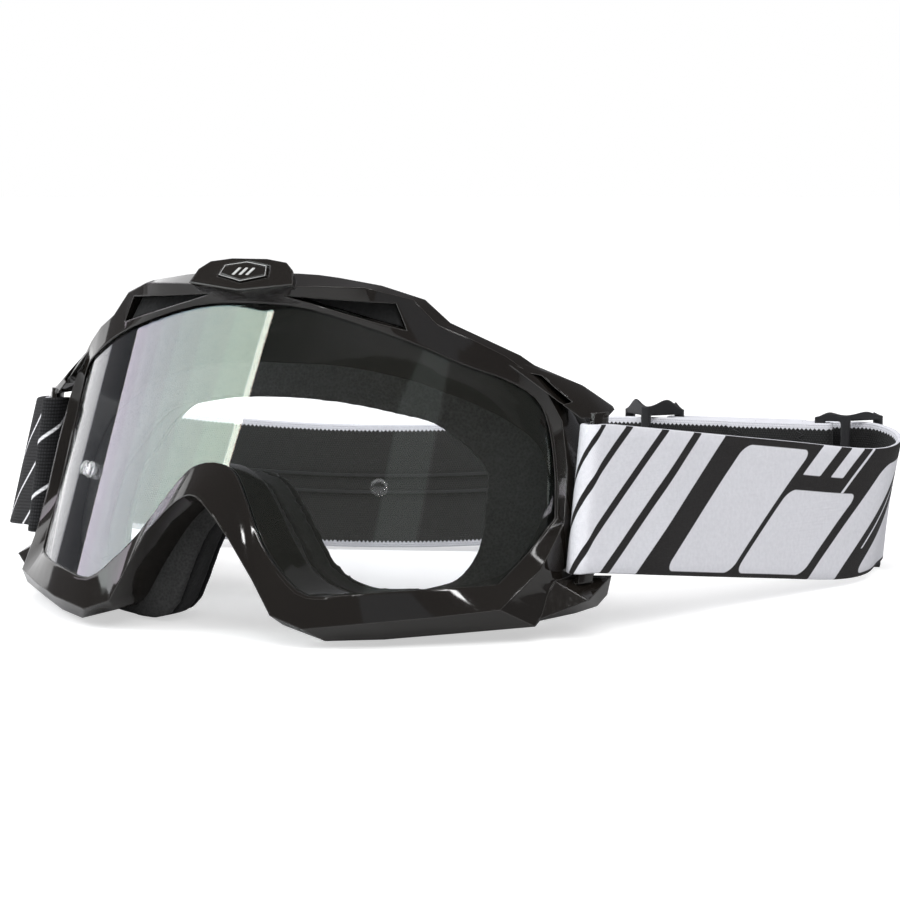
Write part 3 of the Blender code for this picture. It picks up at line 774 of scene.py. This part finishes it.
def make_foams():
    """The three layers of padding and the foams in the vents."""
    grey = foam_look("face_foam", (0.006, 0.006, 0.006), (0.026, 0.026, 0.027), 0.8)
    pale = foam_look("front_foam", (0.014, 0.014, 0.014), (0.060, 0.060, 0.059), 0.8)
    softened("face_foam_base", "foam_base", "goggle", pale, 0.8, 0.03, 20)
    softened("face_foam_mid", "foam_middle", "goggle", grey, 0.8, 0.03, 20)
    softened("face_fleece", "fleece_layer", "goggle", fleece_look(), 0.8, 0.03, 40)
    # The vent foam is near black: its own dark colour, darkened further with painted shade of the recessed
    # vents.
    vent = foam_look("vent_foam", (0.002, 0.002, 0.002), (0.008, 0.008, 0.008), 1.1)
    for side in ("left", "right"):
        softened(f"brow_vent_foam_{side}", f"brow_vent_mesh_{side}", "goggle", vent, 0.35, 0.10, 2)
        softened(f"side_vent_foam_{side}", f"side_vent_mesh_{side}", "goggle", vent, 0.3, 0.06, 2)


def make_straps():
    """The two halves of the strap and the loops sewn round the sliders' end bars."""
    lining = lining_look()
    stripes = ((-15.0, 2.6), (-3.0, 3.2), (13.6, 3.4), (29.7, 4.0))
    blocks = (
        ((56.3, -20.5), (89.6, 19.6), 3.6),
        ((92.2, -20.5), (128.4, 6.6), 3.6),
        ((93.6, 11.6), (102.6, 34.0), 0.5),
        ((108.2, 11.6), (114.6, 34.0), 0.5),
        ((119.0, 6.6), (120.4, 34.0), 0.3),
        ((133.4, -30.0), (149.0, 15.8), 3.6),
        ((153.0, -12.0), (154.0, 12.0), 0.3),
        ((160.0, -20.5), (196.0, 19.6), 3.6),
        ((200.0, -20.5), (236.0, 8.0), 3.6),
    )
    printed = print_look("printed_face", stripes, blocks, 44.0)
    webbing("strap_left_web", "strap_left", "strap", left_route(), (printed, lining), 41.2)
    webbing("strap_right_web", "strap_right", "strap", right_route(), (ribbed_look(), lining), 19.5, outward=-1)
    for number, name, at, side, reach in SEWN_LOOPS:
        route = loop_route(at, LAYER_OFFSET * side, reach, side)
        body = f"adjuster_{number}"
        webbing(f"end_loop_{name}", f"strap_{name}_end_loop", body, route, (lining, lining), -200.0, steps=5)


def bar_tack(name, middle, run, rise, material, body):
    """A zigzag of thread across the webbing: its middle, and unit vectors along and across the webbing."""
    spots = []
    for stitch in range(TACK_STITCHES + 1):
        across = (stitch / TACK_STITCHES - 0.5) * TACK_LENGTH
        along = TACK_WIDTH / 2 if stitch % 2 else -TACK_WIDTH / 2
        spots.append(middle + run * along + rise * across)
    bead(name, spots, TACK_THREAD, material, body)


def make_tacks():
    """The sewn tacks that close the webbing loops."""
    thread = thread_look()
    out = Vector((BAR_RUN.y, -BAR_RUN.x))
    plan = BAR_CENTRE.xy + BAR_RUN * TACK_AT + out * 0.15
    rise = Vector((0.0, BAR_LEAN, 1.0)).normalized()
    middle = Vector((*plan, BAR_CENTRE.z - BAR_DROP * TACK_AT))
    bar_tack("tack_left_half", middle, BAR_RUN.normalized().to_3d(), rise, thread, "strap")
    upright = Vector((0.0, 0.0, 1.0))
    for number, _, at, side, reach in SEWN_LOOPS:
        for place, along in (("near", 6.0), ("far", reach - 3.0)):
            for face in (1, -1):
                depth = LAYER_OFFSET * side + face * (LOOP_LEG + WEB_THICKNESS / 2 + 0.05)
                spot = rear_point(at + side * (END_BAR + along), depth)
                label = "outer" if face > 0 else "inner"
                name, body = f"tack_{number}_{place}_{label}", f"adjuster_{number}"
                bar_tack(name, Vector((*spot, REAR_HEIGHT)), REAR_RUN.to_3d(), upright, thread, body)


def make_sliders():
    """The three-bar sliders: each top bar has two rounded ears and a saddle between them."""
    matt = moulded_look()
    for number, at, rise in ((1, SLIDER_1_AT, 1.0), (2, SLIDER_2_AT, 0.45)):

        def shaped(point):
            """A point of the slider after its top bar has its ears and saddle."""
            along = (point.xy - rear_point(at, 0.0)).dot(REAR_RUN)
            over = point.z - SLIDER_EAR_FROM
            if over <= 0:
                return point
            ears = math.exp(-(((abs(along) - SLIDER_EAR_AT) / SLIDER_EAR_WIDTH) ** 2))
            low = 0.5 if abs(along) < SLIDER_EAR_AT else 0.05
            point.z = SLIDER_EAR_FROM + over * (low + (1 - low) * ears) * rise
            return point

        rounded(f"slider_{number}", f"slider_{number}_moulding", f"adjuster_{number}", matt, 0.4, 4, shaped)
    for node in ("silicone_line_upper", "silicone_line_lower"):
        set_material(node, matt)


# ---------------------------------------------------------------- studio


# The point in metres that the lamps stand round, near the middle of the goggles.
LAMPS_ROUND = Vector((0.0, 0.0, 0.06))


def direction(azimuth, elevation):
    """A unit vector: degrees round from -Y towards +X, and degrees up."""
    az, el = math.radians(azimuth), math.radians(elevation)
    return Vector((math.sin(az) * math.cos(el), -math.cos(az) * math.cos(el), math.sin(el)))


def make_camera():
    """The camera at the front of the goggles, on the wearer's left."""
    data = bpy.data.cameras.new("camera")
    data.lens = CAMERA_LENS
    data.sensor_width = 36.0
    data.clip_start = 0.01
    item = bpy.data.objects.new("camera", data)
    item.location = CAMERA_PLACE * MM
    item.rotation_euler = (math.radians(90 - CAMERA_ELEVATION), 0.0, math.radians(CAMERA_AZIMUTH))
    bpy.context.scene.collection.objects.link(item)
    bpy.context.scene.camera = item


def softbox(name, azimuth, elevation, distance, width, height, radiance, colour=(1, 1, 1)):
    """A rectangular lamp that faces the goggles. Its brightness is what a mirror of it would show."""
    data = bpy.data.lights.new(name, "AREA")
    data.shape = "RECTANGLE"
    data.size = width
    data.size_y = height
    data.energy = radiance * width * height * math.pi
    data.color = colour
    item = bpy.data.objects.new(name, data)
    towards = direction(azimuth, elevation)
    item.location = towards * distance + LAMPS_ROUND
    item.rotation_euler = towards.to_track_quat("Z", "Y").to_euler()
    item.visible_camera = False
    bpy.context.scene.collection.objects.link(item)
    return item


def seen_directly(tree):
    """1 where only clear sheets lie between the camera and the surface or sky, 0 in every reflection."""
    path = tree.nodes.new("ShaderNodeLightPath")
    bounces = Field(tree, path.outputs["Diffuse Depth"]) + Field(tree, path.outputs["Glossy Depth"])
    return (bounces * -1.0 + 1.0).clamped()


def panel(name, azimuth, elevation, distance, height, strips):
    """A flat row of upright softboxes. Strips are (width, radiance, colour) from left to right."""
    middle = direction(azimuth, elevation) * distance + LAMPS_ROUND
    across = direction(azimuth + 90.0, 0.0)
    left = -sum(width for width, _, _ in strips) / 2
    for number, (width, radiance, colour) in enumerate(strips):
        item = softbox(f"{name}_{number}", azimuth, elevation, distance, width, height, radiance, colour=colour)
        item.location = middle + across * (left + width / 2)
        left += width


def make_backdrop():
    """A dim room for reflections, and plain white wherever the camera looks past the goggles."""
    world = bpy.data.worlds.new("studio")
    world.use_nodes = True
    tree = world.node_tree
    backdrop = tree.nodes["Background"]
    backdrop.inputs["Strength"].default_value = 1.0
    room = tree.nodes.new("ShaderNodeBackground")
    room.inputs["Color"].default_value = (0.17, 0.17, 0.18, 1.0)
    backdrop.inputs["Color"].default_value = (1.0, 1.0, 1.0, 1.0)
    mix = tree.nodes.new("ShaderNodeMixShader")
    tree.links.new(seen_directly(tree).socket, mix.inputs["Fac"])
    tree.links.new(room.outputs[0], mix.inputs[1])
    tree.links.new(backdrop.outputs[0], mix.inputs[2])
    tree.links.new(mix.outputs[0], tree.nodes["World Output"].inputs["Surface"])
    bpy.context.scene.world = world


def make_floor():
    """A wide pale paper floor."""
    bm = bmesh.new()
    bmesh.ops.create_circle(bm, cap_ends=True, segments=96, radius=12.0)
    mesh = bpy.data.meshes.new("floor")
    bm.to_mesh(mesh)
    bm.free()
    floor = bpy.data.objects.new("floor", mesh)
    paper = Look("paper", (0.60, 0.60, 0.60), 0.9)
    grain = paper.noise(600.0, 2.0)
    paper.drive("Base Color", paper.blend(grain, (0.59, 0.59, 0.59), (0.61, 0.61, 0.61)))
    paper.set("Emission Color", (1.0, 1.0, 1.0, 1.0))
    paper.drive("Emission Strength", seen_directly(paper.tree) * 0.55)
    mesh.materials.append(paper.material)
    bpy.context.scene.collection.objects.link(floor)


def make_sky():
    """Soft daylight from above that shows in no reflection."""
    sky = bpy.data.lights.new("sky", "SUN")
    sky.energy = 2.7
    sky.angle = math.radians(60)
    lamp = bpy.data.objects.new("sky", sky)
    lamp.rotation_euler = direction(35.0, 52.0).to_track_quat("Z", "Y").to_euler()
    lamp.visible_glossy = False
    lamp.visible_transmission = False
    bpy.context.scene.collection.objects.link(lamp)


def make_lamps():
    """The panels and small lamps that the gloss and the lens reflect."""
    mauve, mint = Vector((0.95, 0.86, 0.97)), Vector((0.90, 1.0, 0.97))
    strips = []
    for step in range(6):
        share = step / 5
        strips.append((0.163, 3.4 + 1.8 * share, mauve.lerp(mint, share)))
    strips.append((0.035, 9.0, (1.0, 1.0, 1.0)))
    panel("left_panel", -60.0, 28.0, 1.2, 0.9, strips)
    softbox("left_far_panel", -122.0, 14.0, 1.2, 0.8, 0.8, 1.1)
    softbox("right_panel", 41.0, 22.0, 1.4, 0.42, 0.7, 0.26, colour=(0.74, 0.86, 1.0))
    softbox("overhead_strip", -25.0, 72.0, 1.3, 0.7, 0.05, 10.0)
    for number, (azimuth, elevation) in enumerate(((-12.0, 58.0), (28.0, 54.0), (72.0, 50.0))):
        softbox(f"sparkle_{number}", azimuth, elevation, 1.3, 0.09, 0.09, 28.0)


def make_studio():
    """The surround, the floor and the lamps."""
    make_backdrop()
    make_floor()
    make_sky()
    make_lamps()
    bpy.context.scene.view_settings.view_transform = "Standard"


make_camera()
dress_frame()
make_lens()
make_posts()
make_badge_trim()
make_foams()
make_straps()
make_tacks()
make_sliders()
make_studio()
